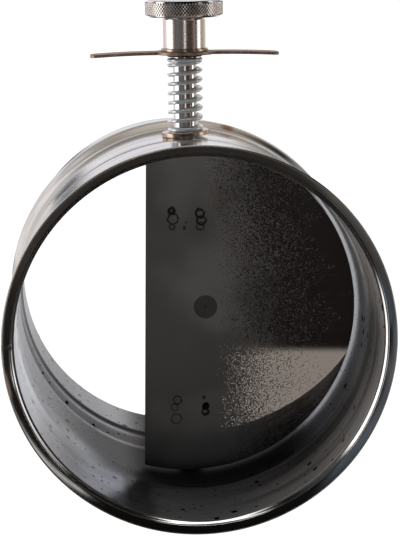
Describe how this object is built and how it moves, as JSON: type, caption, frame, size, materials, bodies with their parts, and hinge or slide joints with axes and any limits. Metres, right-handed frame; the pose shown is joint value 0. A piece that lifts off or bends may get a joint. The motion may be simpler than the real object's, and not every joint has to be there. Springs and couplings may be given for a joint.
{
  "type": "flue butterfly valve",
  "caption": "Short round flue section with a spring-loaded butterfly plate, cut straight on one side, turned from outside by a lever and a knurled knob on its upright spindle.",
  "frame": {"origin": "centre of the spigot's open end, on the flue's axis", "axes": "+Y along the flue, out of the spigot; +Z along the spindle, towards the knob; the flared mouth looks towards -Y"},
  "size_m": [0.124, 0.12, 0.1685],
  "materials": {
    "duct_steel": "bright annealed stainless sheet, rolled",
    "plate_steel": "satin stainless sheet with handling marks",
    "spindle_steel": "bright drawn stainless bar",
    "clip_steel": "pressed stainless strip",
    "washer_steel": "stamped washer with a warm tint",
    "spring_wire": "bright zinc plated spring wire",
    "seat_black": "black oxide",
    "lever_steel": "stamped strip, warm tint on the cut edge",
    "knob_steel": "turned bar with a diamond knurl",
    "pin_steel": "bright steel wire"
  },
  "bodies": {
    "duct": {"duct_body": "duct_steel", "upper_washer": "washer_steel", "lower_washer": "washer_steel", "spring": "spring_wire"},
    "rotor": {"damper_plate": "plate_steel", "spindle": "spindle_steel", "upper_saddle_clip": "clip_steel", "lower_saddle_clip": "clip_steel", "spring_seat": "seat_black", "lever": "lever_steel", "collar_washer": "washer_steel", "knob": "knob_steel", "split_pin": "pin_steel"}
  },
  "joints": [
    {"name": "spindle_turn", "type": "hinge", "parent": "duct", "child": "rotor", "pos_m": [0, -0.063, 0], "axis": [0, 0, 1], "continuous": true}
  ]
}
